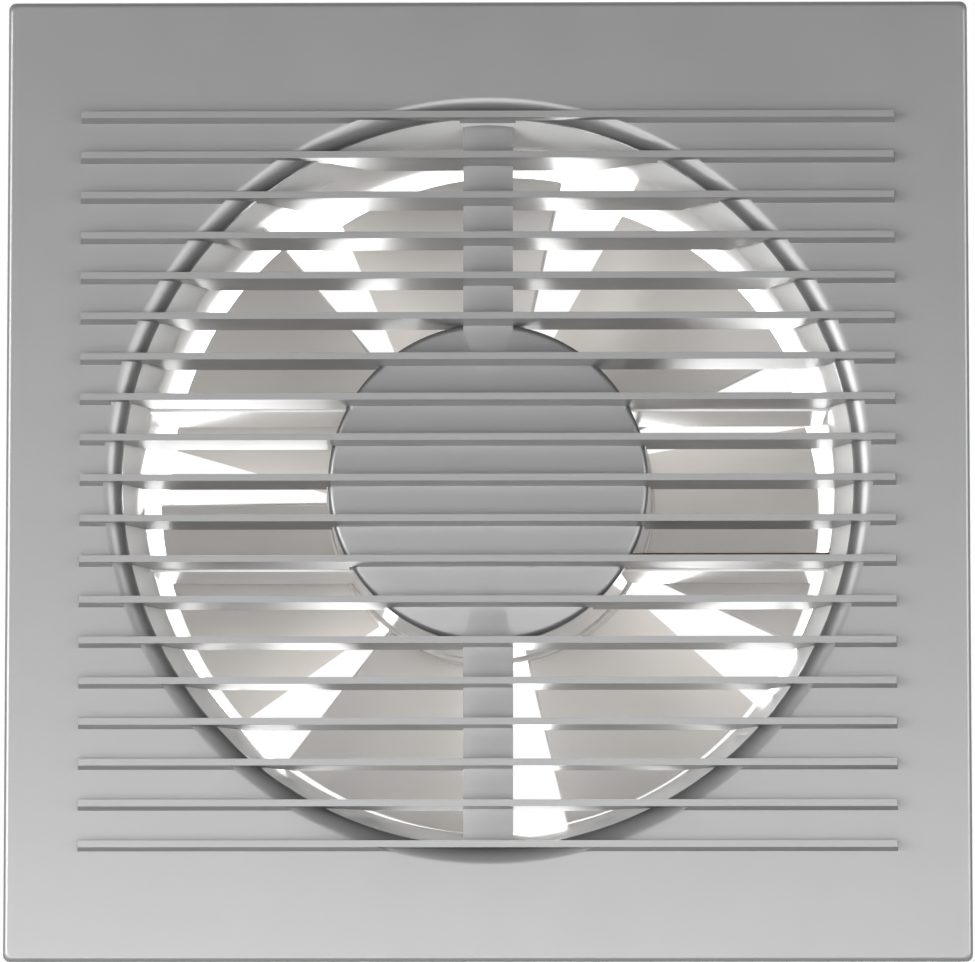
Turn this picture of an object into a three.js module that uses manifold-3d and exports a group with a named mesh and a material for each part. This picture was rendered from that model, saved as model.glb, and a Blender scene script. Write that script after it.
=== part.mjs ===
// Wall-mounted bathroom extractor fan for a 150 mm duct: a silver louvred front grille, a white
// housing with its duct spigot and motor cup, a shaded-pole motor and a seven-blade impeller.
// Millimetres. The wall is the plane Y = 0, the room is towards -Y, the duct towards +Y, Z is up.
import * as THREE from 'three';
import { mergeVertices } from 'three/addons/utils/BufferGeometryUtils.js';
import Module from 'manifold-3d';

const wasm = await Module();
wasm.setup();

// ---- Driving dimensions -------------------------------------------------------------------

const GAP = 0.3; // between pieces that touch
const EMBED = 0.6; // how far a feature runs into the body that it is moulded on
const BEYOND = 5; // how far a cutting tool runs past what it cuts

// Duct and housing
const ductRadius = 72.6; // inside of the spigot
const spigotWall = 1.7;
const spigotLength = 80; // behind the wall
const housingWall = 2;
const wallPlateThickness = 2.4;
const rimHeight = 7.6;
const rimThickness = 1.8;
const wallScrewHoleRadius = 2.4;
const wallScrewInset = 7; // hole centre to the edge of the wall plate
const wallPlateCorner = 3;
const wallPlateGap = 2.8; // wall plate to the inside of the skirt
const spigotLeadIn = 2; // length of the taper on the end of the spigot
const spigotLeadDepth = 0.9;
const bellEnd = -6; // where the bell mouth runs into the straight duct
const collarOverMouth = 0.6; // front radius of the bell mouth over the mouth of the grille

// Front grille
const frontDepth = 28; // wall to the front of the square plate
const frontMargin = 24; // mouth to the edge of the square plate
const plateThickness = 2.5;
const plateCorner = 1.4;
const skirtThickness = 2.2;
const skirtWallGap = 0.6; // open joint between skirt and wall
const mouthFlare = 3.4; // mouth radius over duct radius
const lipRadius = 4;
const lipThickness = 2.5;
const lipStraight = 1; // straight stretch behind the rolled lip
const padWidth = 14; // pads inside the skirt that grip the rim of the wall plate
const padGrip = 0.4;
const padShortfall = 8; // pad length less than the depth of the grille
const ribPitch = 8.42;
const ribThickness = 1.4;
const ribProud = 3.5; // rib front to plate front
const ribDepth = 20;
const ribRootSlant = 0.85; // drop of the lower rib face from its front to the plate
const ribOverrun = 8.7; // rib end past the mouth
const ribClearance = 1; // rib end to the bell mouth of the housing
const stripWidth = 10.4;
const stripThickness = 2.5;
const discSetback = 13; // disc and strip behind the rib fronts
const discOverCup = 0.9; // disc radius over the front radius of the motor cup
const discCrown = 0.8;
const discEdge = 2; // width of the rounded edge
const discRimWidth = 1.8;
const discRimHeight = 0.4;

// Motor
const rotorRadius = 13.9;
const airGap = 0.4;
const stackLength = 14;
const poleShoeDepth = 2.9;
const poleShoeHalfWidth = 9;
const poleNeckWidth = 7;
const yokeWidth = 5;
const windingWidth = 2.8; // along the pole neck
const windingBuild = 2.8; // layers of wire over the former
const bobbinWall = 0.7;
const shadingWire = 1.2;
const shaftRadius = 2;
const shaftRunning = 0.12; // bush bore over shaft radius, with flats allowed for
const bushWall = 1.9;
const bushLength = 3.4;
const bracketThickness = 1.8;
const bracketArmWidth = 6;
const bracketStandOff = 4.8; // bracket arm over the stack
const rearArmExtra = 0.4; // rear bracket thickness over the front one
const rearStandOffLess = 2;
const motorScrewRadius = 1.5;
const motorScrewHead = 1.8;
const cupWall = 1.8;
const cupDraft = 1.8; // growth of the cup radius from front to rear
const cupMotorGap = 1.85; // stator to the front of the cup wall
const cupFloor = 2;
const stayThickness = 2.2;
const cupPadRadius = 3.4; // pads under the motor screws
const headBehindCup = 1.3; // motor screw head behind the front of the cup

// Impeller
const bladeCount = 7;
const bladeTipClearance = 1.8;
const bladeDepth = 20; // along the duct
const bladeThickness = 1.6;
const bladeCamber = 1.6;
const bladeRootSweep = 45; // degrees
const bladeTipSweep = 40;
const firstBladeAngle = 77.6; // front edge of one blade, from +X towards +Z
const hubGap = 1.5; // motor cup to hub
const hubOverCup = 0.8;
const hubWall = 1.7;
const hubDepth = 26.5;
const bladeSetback = 3.5; // hub front to the front edge of the blades
const hubShoulder = 4; // radius of the rounded shoulder of the hub
const hubWeb = 2; // thickness of the end of the hub
const hubBossWall = 3.6;
const hubBossSetback = 6; // hub front to the front of its boss
const clipWidth = 3.2; // push-on clip outside the shaft
const clipEdge = 0.5;
const clipHeight = 1.3;

// Wiring, in the lower right corner of the housing
const terminalFromSide = 34; // block centre to the side of the grille
const terminalFromBottom = 28;
const terminalLength = 24;
const terminalHeight = 12;
const terminalWidth = 14;
const poleSpacing = 12;
const insertSide = 5.2;
const coverWall = 1.4;
const coverSideRoom = 2; // terminal block to the side of its cover
const coverTopRoom = 2.5;
const coverDuctGap = 1; // terminal cover to the collar of the duct
const leadRadius = 0.9;
const leadApart = 0.5; // between the two leads
const leadStackGap = 0.7; // leads to the front of the stack
const leadSlotSpare = 1; // slot size over the lead
const leadSlotOverStay = 0.1; // top of the stay to the slot
const cableRadius = 3.6; // bore of the cable grommet
const cableFromBottom = 16;
const grommetFromSide = 66;
const clampFromSide = 54;
const smallScrewRadius = 1.3;
const clampBossRadius = 2.6;
const clampBossHeight = 4.6;
const clampScrewOffset = 6; // clamp screw to the middle of the cable
const coverBossRadius = 3;
const grommetWall = 1.9;
const grommetFlangeWall = 3.9;
const counterboreDepth = 1.1; // for the flange of the grommet, in the back of the wall plate

// Flats on the round pieces
const ductSides = 40;
const cupSides = 32;
const motorSides = 28;
const screwSides = 10;

// ---- Sizes that follow from them ----------------------------------------------------------

const mouthRadius = ductRadius + mouthFlare;
const plateHalf = mouthRadius + frontMargin;
const plateFront = -frontDepth;
const plateBack = plateFront + plateThickness;
const lipRear = plateFront + lipRadius + lipStraight;
const collarFront = lipRear + 0.5;
const collarRadius = mouthRadius + collarOverMouth;
const wallPlateHalf = plateHalf - skirtThickness - wallPlateGap;
const wallPlateFront = -wallPlateThickness;
const ribFront = plateFront - ribProud;
const ribBack = ribFront + ribDepth;
const ribHalfLength = mouthRadius + ribOverrun;
const ribSide = Math.floor(mouthRadius / ribPitch);
const discFront = ribFront + discSetback;
const discBack = discFront + stripThickness;
const stayFront = ribBack + 0.5;
const stayHeight = 2 * ribPitch;

const cupFront = stayFront - 1;
const screwHeadFront = cupFront + headBehindCup;
const frontArmFront = screwHeadFront + motorScrewHead + GAP;
const frontArmRear = frontArmFront + bracketThickness;
const stackFront = frontArmRear + bracketStandOff;
const stackRear = stackFront + stackLength;
const stackMiddle = (stackFront + stackRear) / 2;
const rearArmFront = stackRear + bracketStandOff - rearStandOffLess;
const rearArmRear = rearArmFront + bracketThickness + rearArmExtra;
const cupFloorFront = rearArmRear + 1;
const cupRear = cupFloorFront + cupFloor;

const poleFaceRadius = rotorRadius + airGap;
const poleShoeRadius = poleFaceRadius + poleShoeDepth;
const bobbinInnerFace = poleShoeRadius + GAP;
const bobbinLength = windingWidth + 2 * bobbinWall + 2 * GAP;
const bobbinOuterFace = bobbinInnerFace + bobbinLength;
const coreHalfWidth = poleNeckWidth / 2 + GAP + bobbinWall;
const coreHalfDepth = stackLength / 2 + GAP + bobbinWall;
const flangeHalfWidth = coreHalfWidth + GAP + windingBuild + GAP;
const flangeHalfDepth = coreHalfDepth + GAP + windingBuild + GAP;
const yokeInner = Math.hypot(bobbinOuterFace, flangeHalfWidth) + GAP;
const yokeOuter = yokeInner + yokeWidth;
const motorScrewCircle = yokeInner + yokeWidth / 2;
const cupInnerFront = yokeOuter + cupMotorGap;
const cupFrontRadius = cupInnerFront + cupWall;
const cupRearRadius = cupFrontRadius + cupDraft;
const discRadius = cupFrontRadius + discOverCup;

const bushRadius = shaftRadius + bushWall;
const bossRadius = bushRadius + GAP + 1.9;
const floorHoleRadius = bossRadius + 0.8;

const hubRadius = cupRearRadius + hubOverCup;
const hubFront = cupRear + hubGap;
const hubRear = hubFront + hubDepth;
const bladeFront = hubFront + bladeSetback;
const impellerRadius = ductRadius - bladeTipClearance;
const shaftFront = cupFront + 2.2;
const shaftRear = hubRear + 3;

const terminalZ = -plateHalf + terminalFromBottom;
const coverHalfX = terminalLength / 2 + coverSideRoom;
const coverTop = terminalZ + terminalWidth / 2 + coverTopRoom;
// The cover stands its set distance from the side, or nearer to the side where the duct needs the room.
const coverReach = collarRadius + housingWall + coverDuctGap;
const besideDuct = Math.sqrt(Math.max(0, coverReach ** 2 - coverTop ** 2));
const terminalX = Math.max(plateHalf - terminalFromSide, besideDuct + coverHalfX);
const terminalBack = wallPlateFront - GAP;
const terminalFront = terminalBack - terminalHeight;
const tunnelY = (terminalBack + terminalFront) / 2;
const cableZ = -plateHalf + cableFromBottom;
const grommetX = plateHalf - grommetFromSide;
const clampX = plateHalf - clampFromSide;

// ---- Solids -------------------------------------------------------------------------------

// A closed geometry becomes a solid for the boolean operations.
function solidOf(geometry) {
  geometry.deleteAttribute('normal');
  geometry.deleteAttribute('uv');
  const merged = mergeVertices(geometry, 1e-4);
  const corners = merged.index.array;
  const kept = [];
  for (let i = 0; i < corners.length; i += 3) {
    const [a, b, c] = [corners[i], corners[i + 1], corners[i + 2]];
    if (a !== b && b !== c && c !== a) {
      kept.push(a, b, c);
    }
  }
  const make = (triVerts) => new wasm.Manifold(new wasm.Mesh({
    numProp: 3,
    vertProperties: new Float32Array(merged.attributes.position.array),
    triVerts: new Uint32Array(triVerts),
  }));
  const solid = make(kept);
  return solid.volume() > 0 ? solid : make(kept.reverse());
}

function join(...solids) {
  return solids.reduce((whole, next) => whole.add(next));
}

function cut(solid, ...tools) {
  return tools.reduce((left, tool) => left.subtract(tool), solid);
}

function box(x0, x1, y0, y1, z0, z1) {
  const geometry = new THREE.BoxGeometry(x1 - x0, y1 - y0, z1 - z0);
  geometry.translate((x0 + x1) / 2, (y0 + y1) / 2, (z0 + z1) / 2);
  return solidOf(geometry);
}

// A closed profile of [radius, y] turned about a line parallel to the duct axis.
function turned(profile, sides, x = 0, z = 0) {
  const points = [...profile, profile[0]].map(([r, y]) => new THREE.Vector2(r, y));
  const geometry = new THREE.LatheGeometry(points, sides);
  geometry.translate(x, 0, z);
  return solidOf(geometry);
}

function drum(radius, y0, y1, sides = 16, x = 0, z = 0) {
  return turned([[0, y0], [radius, y0], [radius, y1], [0, y1]], sides, x, z);
}

function ring(inner, outer, y0, y1, sides = 24, x = 0, z = 0) {
  return turned([[inner, y0], [outer, y0], [outer, y1], [inner, y1]], sides, x, z);
}

// A round bar along X or Z.
function rod(radius, axis, from, to, a, b, sides = 12) {
  const geometry = new THREE.CylinderGeometry(radius, radius, to - from, sides);
  if (axis === 'x') {
    geometry.rotateZ(Math.PI / 2);
    geometry.translate((from + to) / 2, a, b);
  } else {
    geometry.rotateX(Math.PI / 2);
    geometry.translate(a, b, (from + to) / 2);
  }
  return solidOf(geometry);
}

// A square plate with rounded corners, between two planes parallel to the wall.
function squarePlate(half, corner, y0, y1) {
  const shape = new THREE.Shape();
  const flat = half - corner;
  shape.moveTo(-flat, -half);
  shape.absarc(flat, -flat, corner, -Math.PI / 2, 0);
  shape.absarc(flat, flat, corner, 0, Math.PI / 2);
  shape.absarc(-flat, flat, corner, Math.PI / 2, Math.PI);
  shape.absarc(-flat, -flat, corner, Math.PI, 1.5 * Math.PI);
  const geometry = new THREE.ExtrudeGeometry(shape, {
    depth: y1 - y0, bevelEnabled: false, curveSegments: 3,
  });
  geometry.rotateX(Math.PI / 2);
  geometry.translate(0, y1, 0);
  return solidOf(geometry);
}

// A bar of constant [y, z] section along X.
function rail(section, x0, x1) {
  const shape = new THREE.Shape(section.map(([y, z]) => new THREE.Vector2(-z, y)));
  const geometry = new THREE.ExtrudeGeometry(shape, { depth: x1 - x0, bevelEnabled: false });
  geometry.rotateY(Math.PI / 2);
  geometry.translate(x0, 0, 0);
  return solidOf(geometry);
}

// A flat arm through the axis, turned about it.
function arm(halfLength, width, y0, y1, degrees) {
  const geometry = new THREE.BoxGeometry(2 * halfLength, y1 - y0, width);
  geometry.translate(0, (y0 + y1) / 2, 0);
  geometry.rotateY(THREE.MathUtils.degToRad(-degrees));
  return solidOf(geometry);
}

// A box seen from the motor axis: out along the pole, across it, and along the duct.
function poleBox(pole, r0, r1, half0, half1, y0, y1) {
  const geometry = new THREE.BoxGeometry(r1 - r0, y1 - y0, half1 - half0);
  geometry.translate((r0 + r1) / 2, (y0 + y1) / 2, (half0 + half1) / 2);
  geometry.rotateY(-pole * Math.PI / 2);
  return solidOf(geometry);
}

// The four places on a circle that lie between the poles.
function diagonals(radius) {
  return [1, 3, 5, 7].map((eighth) => {
    const angle = eighth * Math.PI / 4;
    return [radius * Math.cos(angle), radius * Math.sin(angle)];
  });
}

// Inner radius of the bell mouth, from its front edge to where the straight duct begins.
function bellRadius(y) {
  const along = THREE.MathUtils.clamp((y - collarFront) / (bellEnd - collarFront), 0, 1);
  return ductRadius + (collarRadius - ductRadius) * (1 - Math.sin(along * Math.PI / 2));
}

function bellProfile(offset, steps = 4) {
  return Array.from({ length: steps + 1 }, (_, i) => {
    const y = THREE.MathUtils.lerp(collarFront, bellEnd, i / steps);
    return [bellRadius(y) + offset, y];
  });
}

function quarterArc(centreR, centreY, radius, steps = 2) {
  return Array.from({ length: steps + 1 }, (_, i) => {
    const angle = (i / steps) * Math.PI / 2;
    return [centreR - radius * Math.sin(angle), centreY - radius * Math.cos(angle)];
  });
}

// ---- The assembly -------------------------------------------------------------------------

const fan = new THREE.Group();
fan.name = 'extractor_fan';

const finishes = {
  silver: { color: '#c3c5c8', roughness: 0.42, metalness: 0.25 },
  white: { color: '#ece9e4', roughness: 0.3, metalness: 0 },
  steel: { color: '#a9abad', roughness: 0.35, metalness: 0.9 },
  lamination: { color: '#6d7072', roughness: 0.6, metalness: 0.7 },
  copper: { color: '#b4652f', roughness: 0.35, metalness: 0.8 },
  brass: { color: '#c2a14e', roughness: 0.35, metalness: 0.9 },
  bronze: { color: '#9a7648', roughness: 0.5, metalness: 0.7 },
  aluminium: { color: '#b7b9bb', roughness: 0.45, metalness: 0.8 },
  nylon: { color: '#e4dfd2', roughness: 0.5, metalness: 0 },
  rubber: { color: '#4a4b4d', roughness: 0.8, metalness: 0 },
  brownWire: { color: '#6b3d22', roughness: 0.5, metalness: 0 },
  blueWire: { color: '#2d6fb0', roughness: 0.5, metalness: 0 },
};

function addPart(name, solid, finish) {
  const { vertProperties, triVerts } = solid.getMesh();
  const geometry = new THREE.BufferGeometry();
  geometry.setAttribute('position', new THREE.BufferAttribute(vertProperties, 3));
  geometry.setIndex(new THREE.BufferAttribute(triVerts, 1));
  const mesh = new THREE.Mesh(geometry, new THREE.MeshStandardMaterial(finishes[finish]));
  mesh.name = name;
  fan.add(mesh);
}

// ---- Front grille -------------------------------------------------------------------------

// The space that the ribs and the strip may fill inside the mouth.
function mouthEnvelope() {
  const inside = bellProfile(-ribClearance).filter(([, y]) => y < ribBack);
  return turned([
    [0, ribFront - BEYOND],
    [mouthRadius + lipRadius, ribFront - BEYOND],
    [mouthRadius + lipRadius, plateFront + 1.2],
    [mouthRadius + EMBED, plateFront + lipRadius],
    [mouthRadius + EMBED, lipRear - 0.1],
    ...inside,
    [bellRadius(ribBack) - ribClearance, ribBack],
    [0, ribBack],
  ], ductSides);
}

function grilleRibs() {
  const half = ribThickness / 2;
  const blades = [];
  const rails = [];
  for (let i = -ribSide; i <= ribSide; i += 1) {
    const z = i * ribPitch;
    const reach = mouthRadius + lipRadius;
    blades.push(box(-reach, reach, ribFront, ribBack, z - half, z + half));
    rails.push(rail([
      [ribFront, z + half],
      [ribFront, z - half],
      [plateFront + EMBED, z - half - ribRootSlant],
      [plateFront + EMBED, z + half],
    ], -ribHalfLength, ribHalfLength));
  }
  const strip = box(-stripWidth / 2, stripWidth / 2, discFront, discBack, -mouthRadius, mouthRadius);
  const inside = join(...blades, strip).intersect(mouthEnvelope());
  const behindDisc = drum(discRadius + 0.7, discFront + 1.5, ribBack + BEYOND, cupSides);
  const throat = drum(mouthRadius + lipRadius - GAP, ribFront - BEYOND, plateBack + BEYOND, ductSides);
  return join(cut(inside, behindDisc), cut(join(...rails), throat));
}

function grilleDisc() {
  return turned([
    [0, discFront - discCrown],
    [discRadius - discEdge, discFront],
    [discRadius, discFront + 1.6],
    [discRadius, discBack + discRimHeight],
    [discRadius - discRimWidth, discBack + discRimHeight],
    [0, discBack - discRimHeight],
  ], cupSides);
}

function grilleLip() {
  const centreR = mouthRadius + lipRadius;
  const centreY = plateFront + lipRadius;
  return turned([
    [centreR + 1, plateFront],
    ...quarterArc(centreR, centreY, lipRadius),
    [mouthRadius, lipRear],
    [mouthRadius + lipThickness, lipRear],
    ...quarterArc(centreR, centreY, lipRadius - lipThickness, 1).reverse(),
    [centreR + 1, plateBack],
  ], ductSides);
}

function frontGrille() {
  const outer = squarePlate(plateHalf, plateCorner, plateFront, -skirtWallGap);
  const hollow = squarePlate(plateHalf - skirtThickness, 1, plateBack, BEYOND);
  const opening = drum(mouthRadius + lipRadius + 0.5, plateFront - BEYOND, plateBack + BEYOND, ductSides);
  const padInner = wallPlateHalf + padGrip;
  const padOuter = plateHalf - skirtThickness + EMBED;
  const pads = [0, 1, 2, 3].map((quarter) => {
    const length = frontDepth - padShortfall;
    const pad = new THREE.BoxGeometry(padOuter - padInner, length, padWidth);
    pad.translate((padInner + padOuter) / 2, plateBack + length / 2 - EMBED, 0);
    pad.rotateY(quarter * Math.PI / 2);
    return solidOf(pad);
  });
  return join(cut(outer, hollow, opening), grilleLip(), grilleRibs(), grilleDisc(), ...pads);
}

addPart('front_grille', frontGrille(), 'silver');

// ---- Housing ------------------------------------------------------------------------------

function ductTube() {
  const outer = ductRadius + spigotWall;
  return turned([
    ...bellProfile(0),
    [ductRadius, spigotLength],
    [outer - spigotLeadDepth, spigotLength],
    [outer, spigotLength - spigotLeadIn],
    [outer, bellEnd],
    ...bellProfile(housingWall).reverse(),
  ], ductSides);
}

function motorCup() {
  return turned([
    [cupInnerFront, cupFront],
    [cupFrontRadius, cupFront],
    [cupRearRadius, cupRear],
    [floorHoleRadius, cupRear],
    [floorHoleRadius, cupFloorFront],
    [cupRearRadius - cupWall, cupFloorFront],
  ], cupSides);
}

function cupHollow() {
  return turned([
    [0, cupFront - BEYOND],
    [cupInnerFront, cupFront - BEYOND],
    [cupInnerFront, cupFront],
    [cupRearRadius - cupWall, cupFloorFront],
    [0, cupFloorFront],
  ], cupSides);
}

// Flat arms on either side of the cup, ending at the wall of the duct.
function stays() {
  const half = stayThickness / 2;
  const bars = [-stayHeight, stayHeight].map(
    (z) => box(-ductRadius, ductRadius, stayFront, cupRear, z - half, z + half),
  );
  return join(...bars).intersect(drum(ductRadius - GAP, stayFront - BEYOND, cupRear + BEYOND, ductSides));
}

// The two motor leads lie over the lower right stay. They pass the duct in front of the wall plate
// and the motor cup in front of the stack.
const leadSpacing = 2 * leadRadius + leadApart;
const ductLeadY = wallPlateFront - GAP - leadRadius;
const cupLeadY = stackFront - leadStackGap - leadRadius;
const leadSlotLow = -stayHeight + stayThickness / 2 + leadSlotOverStay;
const leadSlotHigh = leadSlotLow + 2 * leadRadius + leadSlotSpare;
const leadZ = leadSlotLow + GAP + leadRadius;

const clampScrewZ = [cableZ - clampScrewOffset, cableZ + clampScrewOffset];
const clampBossFront = wallPlateFront - clampBossHeight;
const coverBottom = cableZ - 8;
const coverFront = terminalFront - 0.9 - coverWall;
const coverScrewX = terminalX + 8;
const coverScrewZ = cableZ - 1.5;
const coverBossFront = coverFront + coverWall + GAP;
const grommetHoleRadius = cableRadius + grommetWall;
const grommetFlangeRadius = cableRadius + grommetFlangeWall;

// One slot through the wall of the duct, one through the wall of the motor cup.
const leadSlots = [
  [ductRadius - 6, collarRadius + 4, ductLeadY],
  [cupInnerFront - 8, cupRearRadius, cupLeadY],
].map(([from, to, y]) => box(
  from, to, y - leadSpacing - leadRadius - leadSlotSpare / 2, y + leadRadius + leadSlotSpare / 2,
  leadSlotLow, leadSlotHigh,
));
const smallHole = smallScrewRadius + GAP;

// Plate against the wall, with its rim, the wall-screw holes and the bosses of the wiring corner.
function wallPlate() {
  const plate = squarePlate(wallPlateHalf, wallPlateCorner, wallPlateFront, 0);
  const rimFront = wallPlateFront - rimHeight;
  const rimOuter = squarePlate(wallPlateHalf, wallPlateCorner, rimFront, -0.5);
  const rimInner = squarePlate(wallPlateHalf - rimThickness, wallPlateCorner - 1, rimFront - BEYOND, BEYOND);
  const sleeveHole = drum(ductRadius + spigotWall + GAP, -frontDepth, spigotLength, ductSides);
  const bosses = [
    ...clampScrewZ.map((z) => drum(clampBossRadius, clampBossFront, -1, 16, clampX, z)),
    drum(coverBossRadius, coverBossFront, -1, 16, coverScrewX, coverScrewZ),
  ];
  const screwPlace = wallPlateHalf - wallScrewInset;
  const wallHoles = [[-1, -1], [-1, 1], [1, -1], [1, 1]].map(([x, z]) => drum(
    wallScrewHoleRadius, -BEYOND, BEYOND, 12, x * screwPlace, z * screwPlace,
  ));
  return cut(
    join(plate, cut(rimOuter, rimInner), ...bosses),
    sleeveHole,
    ...wallHoles,
    ...clampScrewZ.map((z) => drum(smallHole, -20, -1.2, screwSides, clampX, z)),
    drum(smallHole, -25, -1.6, screwSides, coverScrewX, coverScrewZ),
    drum(grommetHoleRadius, -BEYOND, BEYOND, 24, grommetX, cableZ),
    drum(grommetFlangeRadius + GAP, -counterboreDepth, BEYOND, 24, grommetX, cableZ),
  );
}

// Stays, motor cup and the pads that the motor screws pull against.
function motorCarrier() {
  const pads = diagonals(motorScrewCircle).map(
    ([x, z]) => drum(cupPadRadius, rearArmRear + GAP, cupFloorFront + 0.5, 12, x, z),
  );
  return cut(
    join(cut(stays(), cupHollow()), motorCup(), ...pads),
    ...diagonals(motorScrewCircle).map(
      ([x, z]) => drum(motorScrewRadius + GAP, stackRear, cupRear + BEYOND, screwSides, x, z),
    ),
    leadSlots[1],
  );
}

// The housing is one moulding. It is held here as its three simple shapes, a gap apart.
addPart('wall_plate', wallPlate(), 'white');
addPart('duct_sleeve', cut(ductTube(), leadSlots[0]), 'white');
addPart('motor_carrier', motorCarrier(), 'white');

// Lid of the motor cup, with a short spigot that centres it.
addPart('motor_cap', turned([
  [0, cupFront - 2.6],
  [cupFrontRadius - 0.9, cupFront - 1.8],
  [cupFrontRadius - 0.2, cupFront - GAP],
  [cupInnerFront - 0.4, cupFront - GAP],
  [cupInnerFront - 0.4, cupFront + 1],
  [cupInnerFront - 2, cupFront + 1],
  [cupInnerFront - 2, cupFront - GAP],
  [0, cupFront - 0.7],
], cupSides), 'white');

// ---- Motor --------------------------------------------------------------------------------

const horn = {
  slotFrom: 3.4,
  slotTo: 3.4 + shadingWire + 2 * GAP,
  depth: poleShoeDepth - 0.6,
};

function statorCore() {
  const yoke = ring(yokeInner, yokeOuter, stackFront, stackRear, motorSides);
  const poles = [0, 1, 2, 3].flatMap((pole) => [
    poleBox(pole, poleShoeRadius - 1, yokeInner + 1, -poleNeckWidth / 2, poleNeckWidth / 2,
      stackFront, stackRear),
    poleBox(pole, poleFaceRadius - 5, poleShoeRadius, -poleShoeHalfWidth, poleShoeHalfWidth,
      stackFront, stackRear),
  ]);
  const slots = [0, 1, 2, 3].map((pole) => poleBox(
    pole, 0, poleFaceRadius + horn.depth, horn.slotFrom, horn.slotTo,
    stackFront - BEYOND, stackRear + BEYOND,
  ));
  const bore = drum(poleFaceRadius, stackFront - BEYOND, stackRear + BEYOND, motorSides);
  const screwHoles = diagonals(motorScrewCircle).map(([x, z]) => drum(
    motorScrewRadius + GAP, stackFront - BEYOND, stackRear + BEYOND, 12, x, z,
  ));
  return cut(join(yoke, ...poles), bore, ...slots, ...screwHoles);
}

addPart('stator_core', statorCore(), 'lamination');

function bobbin(pole) {
  const from = bobbinInnerFace;
  const to = bobbinOuterFace;
  const [y0, y1] = [stackMiddle - coreHalfDepth, stackMiddle + coreHalfDepth];
  const [f0, f1] = [stackMiddle - flangeHalfDepth, stackMiddle + flangeHalfDepth];
  const flange = (r) => poleBox(pole, r, r + bobbinWall, -flangeHalfWidth, flangeHalfWidth, f0, f1);
  const neck = poleNeckWidth / 2 + GAP;
  return cut(
    join(
      poleBox(pole, from, to, -coreHalfWidth, coreHalfWidth, y0, y1),
      flange(from),
      flange(to - bobbinWall),
    ),
    poleBox(pole, from - 1, to + 1, -neck, neck, stackFront - GAP, stackRear + GAP),
  );
}

function winding(pole) {
  const from = bobbinInnerFace + bobbinWall + GAP;
  const inner = coreHalfWidth + GAP;
  const depth = coreHalfDepth + GAP;
  const outer = inner + windingBuild;
  const outerDepth = depth + windingBuild;
  return cut(
    poleBox(pole, from, from + windingWidth, -outer, outer,
      stackMiddle - outerDepth, stackMiddle + outerDepth),
    poleBox(pole, from - 1, from + windingWidth + 1, -inner, inner,
      stackMiddle - depth, stackMiddle + depth),
  );
}

// A copper ring: one leg in the slot of the pole, the other past the end of the horn.
function shadingRing(pole) {
  const r0 = poleFaceRadius + 0.9;
  const r1 = r0 + shadingWire;
  const inner = horn.slotTo - GAP;
  const outer = poleShoeHalfWidth + GAP;
  return cut(
    poleBox(pole, r0, r1, inner - shadingWire, outer + shadingWire,
      stackFront - GAP - shadingWire, stackRear + GAP + shadingWire),
    poleBox(pole, r0 - 1, r1 + 1, inner, outer, stackFront - GAP, stackRear + GAP),
  );
}

for (const pole of [0, 1, 2, 3]) {
  addPart(`bobbin_${pole + 1}`, bobbin(pole), 'nylon');
  addPart(`winding_${pole + 1}`, winding(pole), 'copper');
  addPart(`shading_ring_${pole + 1}`, shadingRing(pole), 'copper');
}

const endRingDepth = 2;
const endRingInner = rotorRadius - 4.9;
addPart('rotor_core', ring(shaftRadius + GAP, rotorRadius, stackFront, stackRear, motorSides), 'lamination');
addPart('rotor_ring_front', ring(
  endRingInner, rotorRadius - 0.4, stackFront - GAP - endRingDepth, stackFront - GAP, motorSides,
), 'aluminium');
addPart('rotor_ring_rear', ring(
  endRingInner, rotorRadius - 0.4, stackRear + GAP, stackRear + GAP + endRingDepth, motorSides,
), 'aluminium');

addPart('motor_shaft', turned([
  [0, shaftFront],
  [shaftRadius - 0.4, shaftFront],
  [shaftRadius, shaftFront + 0.5],
  [shaftRadius, shaftRear - 0.5],
  [shaftRadius - 0.4, shaftRear],
  [0, shaftRear],
], 24), 'steel');

function bracket(armFront, armRear, footFront, footRear, bossFront, bossRear) {
  const feet = diagonals(motorScrewCircle).map(
    ([x, z]) => drum(bracketArmWidth / 2, footFront, footRear, 12, x, z),
  );
  const arms = [45, -45].map(
    (degrees) => arm(motorScrewCircle, bracketArmWidth, armFront, armRear, degrees),
  );
  const holes = diagonals(motorScrewCircle).map(
    ([x, z]) => drum(motorScrewRadius + GAP, armFront - BEYOND, footRear + BEYOND, screwSides, x, z),
  );
  const boss = drum(bossRadius, bossFront, bossRear, 24);
  const bore = drum(bushRadius + GAP, bossFront - BEYOND, bossRear + BEYOND, 24);
  return cut(join(...arms, ...feet, boss), bore, ...holes);
}

const frontBossRear = frontArmFront + bushLength + 0.6;
const rearBossRear = rearArmFront + bushLength + 0.6;
addPart('front_bracket', bracket(
  frontArmFront, frontArmRear, frontArmFront, stackFront - GAP, frontArmFront, frontBossRear,
), 'aluminium');
addPart('rear_bracket', bracket(
  rearArmFront, rearArmRear, stackRear + GAP, rearArmRear, rearArmFront, rearBossRear,
), 'aluminium');

for (const [name, from] of [['front', frontArmFront], ['rear', rearArmFront]]) {
  addPart(`${name}_bush`, ring(
    shaftRadius + shaftRunning, bushRadius, from + GAP, from + GAP + bushLength, 24,
  ), 'bronze');
}

const washerThickness = 0.6;
const washerRadius = shaftRadius + 1.6;
addPart('thrust_washer_front', ring(
  shaftRadius + GAP, washerRadius, frontBossRear + GAP, frontBossRear + GAP + washerThickness, 20,
), 'nylon');
addPart('thrust_washer_rear', ring(
  shaftRadius + GAP, washerRadius, rearArmFront - GAP - washerThickness, rearArmFront - GAP, 20,
), 'nylon');

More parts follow.
